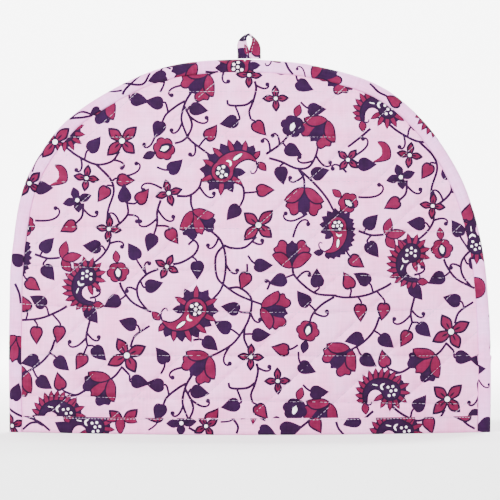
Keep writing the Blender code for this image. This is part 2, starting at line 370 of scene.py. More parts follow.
def crescentShapes():
    outline = [(-3.2, 8.6), (1.6, 7.4), (4.2, 3.4), (4.3, -1.2), (2.2, -5.6), (-3.6, -6.2), (-10.6, -4.6),
               (-5.2, -3.2), (-1.8, -0.8), (-1.2, 4.0)]
    return lined("crimson", smoothed(outline, 3, closed=True), 0.9)


def roundShapes():
    return lined("crimson", disc(0, 0, 8.4, 20), 0.95)


def tendrilShapes(size=12.0):
    # A curl from its own origin, ending in a ball
    t = np.linspace(0, 1, 13)
    turn = np.cumsum(0.02 + 0.60 * t**1.6)
    step = size * (0.165 - 0.105 * t)
    curl = np.column_stack([np.cumsum(step * np.cos(turn)), np.cumsum(step * np.sin(turn))])
    line = np.vstack([(0, 0), curl])
    return strokeShapes(line, lineWidths["tendril"]) + [("purple", disc(*line[-1], 1.65, 8))]


def paisleyShapes(body, teeth):
    # A comma-shaped body with petals along its outer side and round its head
    spine = smoothed(body["spine"], 4)
    half = np.interp(np.linspace(0, 1, len(spine)), np.linspace(0, 1, len(body["half"])), body["half"])
    side, head = leftOf(spine), body["head"]
    start = degrees(atan2(side[0, 1], side[0, 0]))
    turns = np.radians(np.linspace(start + 8, start + teeth["spread"], 16))
    aroundHead = np.column_stack([np.cos(turns), np.sin(turns)]) * head
    edge = np.vstack([(spine + side * half[:, None])[::-1], aroundHead])
    places = lengthAlong(edge)
    count = int(places[-1] / teeth["pitch"])
    at = (np.arange(count) + 0.5) * places[-1] / count
    spots, out = rowsAt(at, places, edge), -rowsAt(at, places, leftOf(edge))
    # A dark band between the petals
    shapes = strokeShapes(edge, np.array((0.5, 0.95, 1.15, 1.15, 1.1, 0.7)) * teeth["long"])
    for layer in (1, 0):                                   # every second petal lies under its neighbours
        for i in range(layer, count, 2):
            ink = teeth["inks"][i % len(teeth["inks"])]
            long = teeth["long"] * min(1.0, 0.7 + 1.2 * i / count) * (0.92 if ink == "purple" else 1.0)
            wide = teeth["wide"] * (1.3 if ink == "purple" else 1.0)
            turn = degrees(atan2(out[i, 1], out[i, 0])) + teeth["lean"] * (1 if i < count * 0.55 else -0.2)
            loop = placed(tooth(long + 0.6, wide), *(spots[i] - out[i] * 0.6), turn)
            shapes += [("purple", loop)] if ink == "purple" else lined(ink, loop, teeth["line"])
    shapes += lined(teeth["inks"][0], placed(petal(9.0, 6.0), *body["tail"]), teeth["line"])
    shapes += strokeShapes(smoothed([spine[-1], *body["curl"]], 4), lineWidths["curl"])
    for grow, ink in ((0.7, "outline"), (-0.45, body["ink"])):
        shapes += strokeShapes(spine, np.maximum(half + grow, 0.1) * 2, ink)
        shapes.append((ink, disc(0, 0, head + grow, 18)))
    if body["ink"] == "crimson":
        shapes.append(("outline", disc(0, 0, 5.4, 14)))
    for k in range(6):
        a, far = radians(60 * k + 18), 3.4 if k else 0.0
        shapes.append(("white", disc(far * cos(a), far * sin(a), body["dot"], 8)))
    # The small crescent and leaf beside the blossom
    x, z, turn, long = body["leaf"]
    crescent = [(-1.9, 2.2), (-0.2, 1.8), (0.8, 0.0), (-0.2, -1.8), (-1.9, -2.2), (-0.6, 0.0)]
    shapes.append(("white", placed(smoothed(crescent, 3, closed=True), x, z, turn)))
    leaf = placed(petal(long, long * 0.4), x + cos(radians(turn)) * 1.6, z + sin(radians(turn)) * 1.6, turn)
    return shapes + [("outline", leaf), ("white", shrunk(leaf, 0.9))]


bigBody = {
    "ink": "crimson", "head": 7.8, "dot": 1.2,
    "spine": ((0, 0), (3.2, 5.6), (8.2, 9.4), (14.0, 11.0), (19.0, 10.3), (23.2, 7.6)),
    "half": (7.2, 6.4, 5.0, 3.5, 2.0, 0.7),
    "tail": (24.6, 7.0, -48), "curl": ((24.2, 3.2), (22.6, -0.6), (20.2, -1.2), (19.5, 0.8)),
    "leaf": (5.4, 6.6, 36, 9.5),
}
sawBody = {
    "ink": "purple", "head": 6.4, "dot": 0.98,
    "spine": ((0, 0), (2.4, 5.4), (7.0, 8.8), (12.4, 9.0), (17.0, 5.8), (19.6, 0.2)),
    "half": (6.0, 4.9, 3.5, 2.4, 1.6, 0.9),
    "tail": (19.8, 1.2, -70), "curl": ((18.4, -1.6), (16.4, -2.0), (15.2, -0.6)),
    "leaf": (4.6, 6.0, 38, 5.8),
}
# The petals round a paisley: their size and spacing, how far they go round its head and how much they lean
bigTeeth = {
    "inks": ("crimson", "purple"), "line": 0.95,
    "long": 9.4, "wide": 4.6, "pitch": 4.1, "spread": 222, "lean": 8}
sawTeeth = {
    "inks": ("crimson",), "line": 0.85,
    "long": 8.0, "wide": 3.9, "pitch": 3.05, "spread": 214, "lean": 16}
darkTeeth = {
    "inks": ("purple",), "line": 0.85,
    "long": 8.6, "wide": 4.6, "pitch": 3.4, "spread": 222, "lean": 10}
# Turn and length of a flower's petals
bigPetals = ((2, 14.8), (95, 13.6), (183, 15.0), (-87, 13.2))
smallPetals = ((0, 9.8), (88, 9.8), (180, 9.8), (-90, 9.6))
darkPetals = ((-3, 10.8), (86, 9.8), (172, 10.8), (-104, 9.0))

drawings = {
    "leaf": leafShapes("crimson"),
    "dark leaf": leafShapes("purple"),
    "tendril": tendrilShapes(),
    "flower": flowerShapes("crimson", bigPetals, 8.6, 1.9),
    "small flower": flowerShapes("crimson", smallPetals, 5.8, 1.25),
    "dark flower": flowerShapes("purple", darkPetals, 6.4, 1.4),
    "scallop": scallopShapes("crimson", "purple"),
    "red scallop": scallopShapes("crimson", "crimson"),
    "dark scallop": scallopShapes("purple", "crimson"),
    "tulip": tulipShapes("crimson", "purple"),
    "dark tulip": tulipShapes("purple", "crimson"),
    "bud": budShapes(),
    "crescent": crescentShapes(),
    "round": roundShapes(),
    "paisley": paisleyShapes(bigBody, bigTeeth),
    "saw paisley": paisleyShapes(sawBody, sawTeeth),
    "dark paisley": paisleyShapes(bigBody, darkTeeth),
}

# The chart of one repeat of the print
Motif = namedtuple("Motif", "draw x z turn size flip", defaults=(1.0, False))
motifs = [Motif(*row) for row in (
    ("paisley", -18.8, 181.7, 0), ("paisley", -37.2, 86.5, 182),
    ("saw paisley", -113.1, 109.2, -76, 1.0, True), ("saw paisley", -127.5, 13.7, 206, 1.0, True),
    ("dark paisley", -164.6, 128.0, -133, 0.82), ("dark tulip", -104, 31.5, 222),
    ("dark tulip", -35.7, 145.4, 293, 0.96), ("tulip", -35, 46.8, 226), ("tulip", 29.3, 125.5, 90),
    ("tulip", 37.7, 160, 268), ("tulip", 18.2, 85.6, 347), ("tulip", 49, 13.6, 232),
    ("tulip", 62, 52, 226), ("flower", -88.9, 203.4, 42), ("flower", 6.1, 144.6, 44),
    ("flower", -85, 54.4, 24, 1.04), ("small flower", -97.7, 142, 84), ("small flower", -113.6, 177.5, 82),
    ("small flower", -56, 166.8, 16, 1.04), ("small flower", -57.2, 115.9, 64),
    ("small flower", 0.9, 53.7, 88), ("small flower", 19.4, 37.1, 92), ("small flower", -157, 174, 50),
    ("dark flower", -120, 162.1, 22), ("scallop", -59.4, 197.8, 204), ("red scallop", -91.2, 112, 96, 0.94),
    ("scallop", 40.2, 71.6, 258, 0.97), ("dark scallop", 31.2, 17.5, 72), ("bud", -131, 121, 11),
    ("red scallop", -157, 144, 140, 0.9), ("crescent", -131.0, 179.5, 16),
)]

# Vines, as points that each one passes
vines = (
    ((-128, 199), (-120, 193), (-107, 187), (-96, 189), (-90.5, 196)),
    ((-106.8, 187), (-97, 177), (-94.3, 168), (-98, 156), (-99, 148)),
    ((-97, 136), (-97.5, 130.7), (-102, 123.7), (-110, 117)),
    ((-94, 143), (-88, 147.7), (-84.3, 153), (-85, 160)),
    ((-127, 88.3), (-133.2, 84.8), (-145, 80), (-158.8, 78.5), (-168, 80)),
    ((-135.5, 64.9), (-139.4, 55.6), (-147, 47.5), (-158.8, 40.4)),
    ((-110.7, 79.3), (-113.4, 68), (-112.6, 61)),
    ((-114, 30), (-121, 26.5), (-128.5, 28.8)),
    ((-121, 26.5), (-126, 25), (-131, 19)),
    ((-97.4, 37), (-92.4, 41), (-88, 47)),
    ((-82.5, 60), (-79.2, 68), (-69, 75)),
    ((-90, 105), (-87.7, 99.6), (-80.8, 91), (-68, 84.5)),
    ((-62.9, 114.3), (-71.4, 110.4), (-77.4, 103), (-76.8, 94), (-70, 85)),
    ((-53, 117.5), (-46.6, 119), (-38.5, 124), (-35.5, 130), (-38.5, 134), (-42.4, 131)),
    ((-28.7, 142.3), (-20, 134), (-16.6, 122.9), (-17, 110), (-20.1, 99.6), (-27, 92)),
    ((-17.8, 130.7), (-23.3, 122.9), (-22.5, 109), (-16, 102), (-6, 95.5), (10.6, 89.1)),
    ((-17.8, 130.7), (-11.9, 128.7), (-3, 129.4), (4.8, 136.5)),
    ((-14.2, 101), (-7, 101.4), (0.7, 95), (1, 86), (-2.2, 76), (-10.3, 64.1), (-19, 58), (-27.9, 53.6)),
    ((-3.3, 74), (-3.7, 66.5), (-1, 60)),
    ((4.8, 49.4), (5.8, 44), (3.7, 35), (1, 28), (2.1, 22.2)),
    ((3.7, 36), (-2, 32.4), (-12.7, 32.3), (-14.5, 36)),
    ((-39.2, 42), (-43.5, 34.6), (-46, 26), (-45.8, 20), (-42, 10)),
    ((-44.5, 32), (-40, 23), (-39, 17), (-42, 10)),
    ((-50.4, 164.8), (-42, 165), (-35.4, 170), (-33, 177)),
    ((-40.5, 166), (-40.4, 159), (-38, 152.6)),
    ((-61.5, 162), (-64, 154), (-64, 146), (-66.5, 137)),
    ((-9, 174.5), (-4.6, 171), (-4, 164), (-6.4, 158)),
    ((11.4, 194), (18.4, 198.6), (23.9, 203.3), (28, 209)),
    ((13.4, 191.2), (22, 188.6), (32.4, 184), (41, 185), (46, 193), (48, 202)),
    ((34, 183.5), (37.6, 177), (38, 170)),
    ((34, 183.5), (44, 174.5), (53, 164), (58, 155)),
    ((29.7, 116.7), (30.6, 110.5), (37, 103.4), (46.4, 97.2), (60, 96)),
    ((58.4, 95), (49.5, 89.5), (43.5, 83), (41.5, 78)),
    ((-45.0, 231.4), (-50.4, 228.2), (-58, 222), (-61, 216)),
    ((-43.2, 206), (-40.4, 203), (-36.9, 200.2), (-27.1, 193)),
    ((-43.2, 206), (-47, 203), (-52, 201.5)),
    ((-150, 124.5), (-141, 121.6), (-132, 122)),
    ((-115.8, 160), (-116.5, 151), (-121, 146)),
    ((-88, 46), (-83, 41)),
    ((-141, 196), (-148, 190), (-157, 183)),
)

Leaf = namedtuple("Leaf", "ink x z turn bend")
leaves = [Leaf(*row) for row in (
    ("crimson", -149, 68.4, 264, 3), ("crimson", -132.6, 69, 266, -3), ("purple", -153, 50, 186, 3),
    ("purple", -131, 48, 312, 3), ("purple", -143.6, 34.4, 316, 4), ("crimson", -132.6, 35.5, 116, -5),
    ("crimson", -117, 50, 250, -4), ("purple", -104.6, 55.6, 308, 3), ("purple", -109.6, 82, 308, 0),
    ("purple", -147, 92, 138, 5), ("crimson", -157, 90, 104, 5), ("crimson", -151.6, 103, 320, 2),
    ("purple", -140.4, 111.6, 300, 3), ("purple", -141.4, 131, 56, -4), ("crimson", -126, 143.6, 198, 4),
    ("purple", -109, 129.5, 184, -4), ("purple", -95, 91.4, 200, 3), ("purple", -108, 200.6, 40, 5),
    ("crimson", -101.5, 166.4, 244, -3), ("purple", -84, 76.4, 168, -2), ("purple", -60, 54.6, 112, 6),
    ("purple", -76, 36.6, 0, -5), ("purple", -27, 63, 330, -4), ("purple", -65, 34, 180, -4),
    ("purple", -34.6, 29.2, 340, 4), ("purple", -62, 15.4, 260, -5), ("purple", -18.4, 74.6, 160, -3),
    ("purple", -68.6, 133, 244, 3), ("crimson", -53.6, 137, 296, 4), ("purple", -80, 126.4, 110, 5),
    ("purple", -66.4, 102.6, 6, 4), ("purple", -35.8, 114, 280, -4), ("crimson", -26.4, 208.6, 42, 5),
    ("purple", -51.4, 185, 28, 6), ("crimson", -86.6, 175.6, 346, 5),
    ("purple", -87, 166.4, 98, -2), ("crimson", -74, 164.4, 40, 4), ("purple", 7.6, 68.6, 352, 4),
    ("crimson", 21.6, 58.8, 176, -4), ("purple", 39, 45.6, 322, 6), ("purple", 47.6, 29, 352, 4),
    ("purple", -12.6, 20, 204, -5), ("crimson", 7.8, 16, 302, 4), ("purple", 9, 116.4, 348, 5),
    ("crimson", -3.4, 106.4, 252, -2), ("purple", 19.8, 106, 204, -3), ("purple", 46.2, 107.6, 104, -5),
    ("purple", 36.8, 93.4, 140, -5), ("purple", -12.6, 87.6, 156, 5), ("purple", -11.4, 153.6, 222, 3),
    ("purple", 30, 196, 324, 4),
    ("purple", 22, 179.4, 276, 2), ("purple", 48.6, 181.2, 28, -4), ("crimson", 10.4, 169, 12, -4),
    ("purple", -144, 170.6, 352, 3),
)]

Tendril = namedtuple("Tendril", "x z turn size flip")
tendrils = [Tendril(*row) for row in (
    (-113.2, 67, 228, 12, True), (-113, 69, 306, 9, False), (-46, 46.4, 190, 10, False),
    (-119, 192, 284, 9, True), (-97, 132, 20, 9, True), (-88, 178.4, 10, 13, False),
    (-78, 100, 150, 7, False), (-84.6, 152.4, 0, 8, True), (-91, 146.4, 110, 9, False),
    (-71.4, 110.8, 110, 8, True), (-22.6, 136, 250, 9, True), (3, 131, 330, 7, False),
    (-16.6, 119, 296, 9, False), (0.6, 84, 290, 8, False), (-13, 62, 236, 12, False),
    (4.8, 46.6, 330, 8, False), (-48, 20, 250, 9, True), (-40, 24, 320, 12, False),
    (-34.6, 171, 300, 11, False), (-60.6, 170, 150, 13, False), (-64, 156, 300, 12, False),
    (-64.6, 150, 224, 12, True), (-94, 190, 350, 8, True), (14, 196, 92, 9, False),
    (20, 201, 92, 8, False), (44, 190, 200, 10, True), (46, 192, 300, 11, False),
    (37, 178, 220, 9, True), (40, 152.6, 214, 15, True), (30, 136, 76, 14, True),
    (32, 108, 50, 9, True), (44.6, 84, 330, 9, False), (-38, 201, 280, 8, True),
    (-115.6, 156, 310, 10, False),
    (-150, 148, 356, 17, False), (-152, 177, 30, 13, False), (-66, 206, 250, 9, True),
    (-111, 94, 10, 8, False), (12, 100, 60, 6, False), (-158, 165, 130, 10, False),
)]

repeatAcross = np.array((225.4, 16.1))   # from one repeat to the next along the cloth
repeatUp = np.array((-1.2, 196.0))
growth = {
    "tendrilReach": 5.0,     # a tendril farther than this from any vine starts by itself
    "leafRoot": 4.6,         # from a leaf's middle back to its stem
    "stemReach": 14.0,       # a leaf farther than this from any vine has a short free stem
}


def motifShapes(chart):
    return [(ink, placed(loop, m.x, m.z, m.turn, m.size, m.flip))
            for m in chart for ink, loop in drawings[m.draw]]


def repeatShapes():
    # Every inked shape of one repeat, the lowest first
    lines = [smoothed(points, 5) for points in vines]
    shapes = []
    for line in lines:
        shapes += strokeShapes(line, lineWidths["vine"])
    everyPoint = np.vstack(lines)
    everyPoint = np.vstack([everyPoint, everyPoint + repeatUp, everyPoint - repeatUp])
    for t in tendrils:
        # A tendril starts on the nearest vine
        start = everyPoint[np.argmin(np.linalg.norm(everyPoint - (t.x, t.z), axis=1))]
        if np.linalg.norm(start - (t.x, t.z)) > growth["tendrilReach"]:
            start = (t.x, t.z)
        shapes += [(ink, placed(loop, *start, t.turn, 1.0, t.flip)) for ink, loop in tendrilShapes(t.size)]
    for leaf in leaves:
        # A leaf's stem leaves it straight and bends over to the nearest vine behind it
        heading = np.array((cos(radians(leaf.turn)), sin(radians(leaf.turn))))
        root = np.array((leaf.x, leaf.z)) - heading * growth["leafRoot"]
        away = everyPoint - root
        far = np.linalg.norm(away, axis=1) + 0.7 * np.maximum(0, away @ heading)
        best = int(np.argmin(far))
        if far[best] < growth["stemReach"]:
            stem = smoothed([root, root - heading * min(3.0, far[best] * 0.4), everyPoint[best]], 4)
        else:
            free = smoothed([(-11.5, leaf.bend), (-8.0, leaf.bend * 0.35), (-growth["leafRoot"], 0)], 4)
            stem = placed(free, leaf.x, leaf.z, leaf.turn)
        shapes += strokeShapes(stem, lineWidths["stem"])
        name = "dark leaf" if leaf.ink == "purple" else "leaf"
        for ink, loop in drawings[name]:
            # Its tip goes on bending the way that the stem does
            over = leaf.bend * 0.07 * np.clip(loop[:, 0] + 1, 0, None) ** 2 / 11
            bent = loop + np.column_stack([np.zeros(len(loop)), over])
            shapes.append((ink, placed(bent, leaf.x, leaf.z, leaf.turn)))
    return shapes + motifShapes(motifs)


oneRepeat = [(ink, loop, loop.min(axis=0), loop.max(axis=0)) for ink, loop in repeatShapes()]
print("print charted:", len(oneRepeat), "shapes in a repeat")


def printOver(outline, shiftX=0.0, shiftZ=0.0):
    # The inked shapes that reach a piece of cloth laid flat
    low, high = outline.min(axis=0), outline.max(axis=0)
    found = []
    for i in range(-4, 5):
        for j in range(-4, 5):
            shift = repeatAcross * i + repeatUp * j + (shiftX, shiftZ)
            for ink, loop, a, b in oneRepeat:
                if np.all(b + shift > low) and np.all(a + shift < high):
                    found.append((ink, loop + shift))
    return found


def insideLoop(points, loop):
    # True for points that the loop goes round, also where it crosses itself
    x, z = points[:, 0][:, None], points[:, 1][:, None]
    ax, az = loop[:, 0], loop[:, 1]
    bx, bz = np.roll(ax, -1), np.roll(az, -1)
    leftward = (bx - ax) * (z - az) - (x - ax) * (bz - az) > 0
    up, down = (az <= z) & (bz > z) & leftward, (bz <= z) & (az > z) & ~leftward
    return up.sum(axis=1) != down.sum(axis=1)


def inkOf(middles, inked):
    # The last shape drawn over each point gives its ink
    names = np.full(len(middles), "ground", dtype="<U8")
    order = np.argsort(middles[:, 0])
    sortedX = middles[order, 0]
    for ink, loop in inked:
        (lowX, lowZ), (highX, highZ) = loop.min(axis=0), loop.max(axis=0)
        near = order[np.searchsorted(sortedX, lowX):np.searchsorted(sortedX, highX)]
        near = near[(middles[near, 1] > lowZ) & (middles[near, 1] < highZ)]
        if len(near):
            names[near[insideLoop(middles[near], loop)]] = ink
    return names


def cutCloth(outline, inked, guides, step):
    # Triangles of a flat piece of cloth that follow its print: points, corners and each one's ink
    verts = [tuple(p) for p in outline]
    edges = []
    for line in [np.vstack([loop, loop[:1]]) for ink, loop in inked] + guides:
        first = len(verts)
        verts += [tuple(p) for p in line]
        edges += [(k, k + 1) for k in range(first, first + len(line) - 1)]
    low, high = outline.min(axis=0), outline.max(axis=0)
    for j, z in enumerate(np.arange(low[1] + step / 2, high[1], step)):
        verts += [(x, z) for x in np.arange(low[0] + step * (0.3 + 0.5 * (j % 2)), high[0], step)]
    whole = [list(range(len(outline)))]
    points, _, tris, _, _, own = delaunay_2d_cdt([Vector(v) for v in verts], edges, whole, 0, 1e-3, True)
    kept = np.array([tri for tri, cloth in zip(tris, own) if cloth])
    used, corners = np.unique(kept, return_inverse=True)
    corners = corners.reshape(-1, 3)
    points = np.array([p[:] for p in points])[used]
    return points, corners, inkOf(points[corners].mean(axis=1), inked)


def edgeLoop(corners):
    # The open edge of a piece, in order
    sides = {}
    for a, b, c in corners.tolist():
        for p, q in ((a, b), (b, c), (c, a)):
            sides[p, q] = True
    following = {p: q for p, q in sides if (q, p) not in sides}
    start = next(iter(following))
    loop = [start]
    while following[loop[-1]] != start:
        loop.append(following[loop[-1]])
    assert len(loop) == len(following)
    return loop


def makePiece(name, vertices, faces, materials):
    mesh = bpy.data.meshes.new(name)
    mesh.from_pydata([tuple(v) for v in np.asarray(vertices) * mm], [], faces)
    for material in materials:
        mesh.materials.append(material)
    obj = bpy.data.objects.new(name, mesh)
    bpy.context.collection.objects.link(obj)
    return obj


def sewnCloth(name, flat, backStep, place, ground, materials):
    # A closed sheet: the printed face, the plain back and the turned edge between them
    points, corners, inkNames = flat
    loop = edgeLoop(corners)
    outline = points[loop]
    backPoints, backCorners, _ = cutCloth(outline, [], [], backStep)
    nearest = {tuple(np.round(p, 3)): k for k, p in enumerate(backPoints)}
    backLoop = [nearest[tuple(np.round(p, 3))] for p in outline]
    face3, back3 = place(points, 0), place(backPoints, 1)
    first = len(points)
    faces = corners.tolist() + (backCorners[:, ::-1] + first).tolist()
    for k, a in enumerate(loop):
        b = loop[(k + 1) % len(loop)]
        c, d = backLoop[(k + 1) % len(loop)] + first, backLoop[k] + first
        faces.append([b, a, d, c])
    obj = makePiece(name, np.vstack([face3, back3]), faces, materials)
    mesh = obj.data
    sizes = np.array([len(f) for f in faces])
    colours = {ink: linearColour(code)[:3] + [0.0] for ink, code in inks.items()}
    colours["ground"] = linearColour(ground)[:3] + [1.0]
    perFace = [colours[ink] for ink in inkNames.tolist()] + [colours["ground"]] * (len(faces) - len(inkNames))
    layer = mesh.color_attributes.new("Print", "FLOAT_COLOR", "CORNER")
    layer.data.foreach_set("color", np.repeat(np.array(perFace), sizes, axis=0).ravel())
    flatPlace = mesh.attributes.new("ClothPlace", "FLOAT_VECTOR", "POINT")
    both = np.vstack([points, backPoints])
    flatPlace.data.foreach_set("vector", np.column_stack([both, np.zeros(len(both))]).ravel())
    slots = np.array([0] * len(corners) + [1] * (len(faces) - len(corners)))
    mesh.polygons.foreach_set("material_index", slots)
    mesh.shade_smooth()
    mesh.update()
    print(name, "sewn:", len(faces), "faces")
    return obj


# Materials
def addNode(tree, kind, settings=None, links=None):
    # A node with its settings; an input is set by its name or its number, and links name their source sockets
    node = tree.nodes.new(kind)
    for key, value in (settings or {}).items():
        if isinstance(key, str) and hasattr(node, key):
            setattr(node, key, value)
        else:
            node.inputs[key].default_value = value
    for key, source in (links or {}).items():
        tree.links.new(source, node.inputs[key])
    return node


def newMaterial(name):
    material = bpy.data.materials.new(name)
    material.use_nodes = True
    material.node_tree.nodes.clear()
    return material, material.node_tree


weave = {
    "thread": 1.25,          # mm between threads; real ones stand 0.4 mm apart, too fine to show
    "slubLong": 22.0,        # mm, length of a thick stretch of thread
    "slubWide": 1.3,
    "bump": 0.16,            # mm
}
cottonTones = {
    "backing": "#efe6e6",
    "slubs": (0.89, 1.07),               # factors on the colour: thick and thin threads
    "ink": (0.80, 1.24),                 # heavy and starved printing
    "ground": (0.975, 1.015),
    "dyeLeast": (1.0, 1.06, 1.06, 1.0),
    "dyeMost": (0.97, 0.79, 0.87, 1.0),
}


def clothMaterial(name, printed):
    # Plain-woven cotton, block-printed: dry and matt, with uneven threads and slightly patchy ink
    material, tree = newMaterial(name)
    place = addNode(tree, "ShaderNodeAttribute", {"attribute_name": "ClothPlace"}).outputs["Vector"]
    split = addNode(tree, "ShaderNodeSeparateXYZ", links={0: place})
    threads, slubs = [], []
    across, along = 1 / weave["slubWide"], 1 / weave["slubLong"]
    for axis, stretch in (("X", (across, along)), ("Y", (along, across))):
        wobble = addNode(tree, "ShaderNodeTexNoise", {"Scale": 0.11, "Detail": 2.0}, {"Vector": place})
        moved = addNode(tree, "ShaderNodeMath", {"operation": "MULTIPLY_ADD", 1: 2.2},
                        {0: wobble.outputs["Fac"], 2: split.outputs[axis]})
        turned = addNode(tree, "ShaderNodeMath", {"operation": "MULTIPLY", 1: 2 * pi / weave["thread"]},
                         {0: moved.outputs[0]})
        wave = addNode(tree, "ShaderNodeMath", {"operation": "SINE"}, {0: turned.outputs[0]})
        threads.append(wave.outputs[0])
        laid = addNode(tree, "ShaderNodeMapping", {"Scale": (*stretch, 1.0)}, {"Vector": place})
        slubs.append(addNode(tree, "ShaderNodeTexNoise", {"Scale": 1.0, "Detail": 3.0, "Roughness": 0.6},
                             {"Vector": laid.outputs[0]}).outputs["Fac"])
    crossed = addNode(tree, "ShaderNodeMath", {"operation": "MULTIPLY"}, dict(enumerate(threads))).outputs[0]
    slub = addNode(tree, "ShaderNodeMath", {"operation": "ADD"}, dict(enumerate(slubs))).outputs[0]
    # Light and dark threads over the whole cloth
    low, high = cottonTones["slubs"]
    shade = addNode(tree, "ShaderNodeMapRange", {1: 0.72, 2: 1.28, 3: low, 4: high}, {0: slub})
    tone = addNode(tree, "ShaderNodeMath", {"operation": "MULTIPLY_ADD", 1: 0.02},
                   {0: crossed, 2: shade.outputs[0]}).outputs[0]
    if printed:
        # The dye has taken a little unevenly, pinker in some places, and so has the ink
        pool = addNode(tree, "ShaderNodeTexNoise", {"Scale": 0.045, "Detail": 4.0, "Roughness": 0.6},
                       {"Vector": place})
        spread = addNode(tree, "ShaderNodeMapRange", {1: 0.36, 2: 0.64}, {0: pool.outputs["Fac"]})
        dyes = {"data_type": "RGBA", 6: cottonTones["dyeLeast"], 7: cottonTones["dyeMost"]}
        dye = addNode(tree, "ShaderNodeMix", dyes, {0: spread.outputs[0]})
        colour = addNode(tree, "ShaderNodeAttribute", {"attribute_name": "Print"})
        patchy = addNode(tree, "ShaderNodeTexNoise", {"Scale": 0.16, "Detail": 5.0, "Roughness": 0.65},
                         {"Vector": place})
        patches = []
        for low, high in (cottonTones["ink"], cottonTones["ground"]):
            ranged = addNode(tree, "ShaderNodeMapRange", {1: 0.3, 2: 0.7, 3: low, 4: high},
                             {0: patchy.outputs["Fac"]})
            patches.append(ranged.outputs[0])
        inkTone = addNode(tree, "ShaderNodeMix", {"data_type": "FLOAT"},
                          {0: colour.outputs["Alpha"], 2: patches[0], 3: patches[1]})
        tone = addNode(tree, "ShaderNodeMath", {"operation": "MULTIPLY"},
                       {0: tone, 1: inkTone.outputs[0]}).outputs[0]
        dyed = addNode(tree, "ShaderNodeVectorMath", {"operation": "MULTIPLY"},
                       {0: colour.outputs["Color"], 1: dye.outputs[2]}).outputs[0]
    else:
        plain = addNode(tree, "ShaderNodeRGB")
        plain.outputs[0].default_value = linearColour(cottonTones["backing"])
        dyed = plain.outputs[0]
    base = addNode(tree, "ShaderNodeVectorMath", {"operation": "SCALE"}, {0: dyed, "Scale": tone})
    relief = addNode(tree, "ShaderNodeMath", {"operation": "MULTIPLY_ADD", 1: 0.5}, {0: crossed, 2: slub})
    bump = addNode(tree, "ShaderNodeBump", {"Strength": 0.6, "Distance": weave["bump"] * mm},
                   {"Height": relief.outputs[0]})
    rough = addNode(tree, "ShaderNodeMapRange", {1: 0.7, 2: 1.3, 3: 0.95, 4: 0.84}, {0: slub})
    shader = addNode(tree, "ShaderNodeBsdfPrincipled", {
        "IOR": 1.47, "Specular IOR Level": 0.1, "Sheen Weight": 0.02, "Sheen Roughness": 0.6},
        {"Base Color": base.outputs[0], "Roughness": rough.outputs[0], "Normal": bump.outputs[0]})
    addNode(tree, "ShaderNodeOutputMaterial", links={"Surface": shader.outputs[0]})
    return material


cottons = (clothMaterial("printed plain-woven cotton", True), clothMaterial("plain cotton backing", False))


# The two quilted panels
panelCloth = {
    "step": 2.6,             # grid between the print's own points
    "backStep": 6.0,
    "tuck": 4.0,             # from a panel's edge to where it has its full thickness
    "beside": 1.4,           # from a row of quilting to the guide line on each side of it
    "clear": 0.6,            # from the ends of the quilting to the seams
    "ground": "#f9aae0",
}


def panelOutline():
    # The panel's edge under the bindings, anticlockwise from the lower left
    rim = panelRim[panelRim[:, 1] > dome["foot"] + 0.5]
    low = np.array([(panelRim[0, 0], dome["foot"])])
    high = np.array([(panelRim[-1, 0], dome["foot"])])
    along = np.linspace(low[0, 0], high[0, 0], 90)[1:-1]
    foot = np.column_stack([along, np.full(len(along), dome["foot"])])
    return np.vstack([low, foot, high, rim[::-1]])


def quiltLines():
    # The rows of quilting inside the seams, as lines in the front view
    q = quilting
    lines = []
    for row in q["levels"]:
        x = np.arange(-170, 170, 1.0)
        lines.append(np.column_stack([x, levelHeight(row, x)]))
    for k in range(q["count"]):
        x = np.arange(-170, 170, 0.75)
        lines.append(np.column_stack([x, q["rise"] * x + q["first"] + k * q["step"]]))
    kept = []
    for line in lines:
        low, high = seamSides(line[:, 1])
        clear = panelCloth["clear"]
        inside = (line[:, 0] > low + clear) & (line[:, 0] < high - clear)
        inside &= (line[:, 1] > dome["hemTop"] + 0.4) & (line[:, 1] < crownHeight - clear)
        if inside.sum() > 4:
            kept.append(line[inside])
    return kept


quiltPaths = quiltLines()


def quiltGuides():
    # Lines that the cloth's triangles follow: along each row and each crease, and to both sides
    guides = []
    ends = [np.linspace(a, b, 9) for a, b, deep, wide in creases]
    for line in [path[::3] for path in quiltPaths] + ends:
        aside = leftOf(line) * panelCloth["beside"]
        guides += [line, line + aside, line - aside]
    return guides


def rimDistance(x, z):
    points = np.column_stack([x, z])
    best = np.full(len(points), 1e9)
    for a, b in zip(outerRim[:-1], outerRim[1:]):
        ab = b - a
        t = np.clip(((points - a) @ ab) / (ab @ ab), 0, 1)
        best = np.minimum(best, np.linalg.norm(points - (a + t[:, None] * ab), axis=1))
    return best


def quiltedPanel(name, side, swells, seed, shiftX, shiftZ):
    outline = panelOutline()
    if side > 0:
        outline = (outline * (-1, 1))[::-1]
    guides = [line if side < 0 else line * (-1, 1) for line in quiltGuides()]
    flat = cutCloth(outline, printOver(outline, shiftX, shiftZ), guides, panelCloth["step"])

    def place(points, back):
        x, z = -side * points[:, 0], points[:, 1]
        inner, outer = panelDepths(x, z, swells, seed)
        y = inner if back else outer
        # The panel thins to its edge, under the binding
        tuck = np.clip((rimDistance(x, z) - dome["panelInset"]) / panelCloth["tuck"], 0, 1)
        y = y * (0.35 + 0.65 * np.sqrt(tuck)) if not back else y * (0.2 + 0.8 * tuck)
        return np.column_stack([x, side * y, z])

    cloth = sewnCloth(name, flat, panelCloth["backStep"], place, panelCloth["ground"], cottons)
    rows = [place(line * (-side, 1), 0) + (0, side * quiltThread["sunk"], 0) for line in quiltPaths]
    return cloth, rows


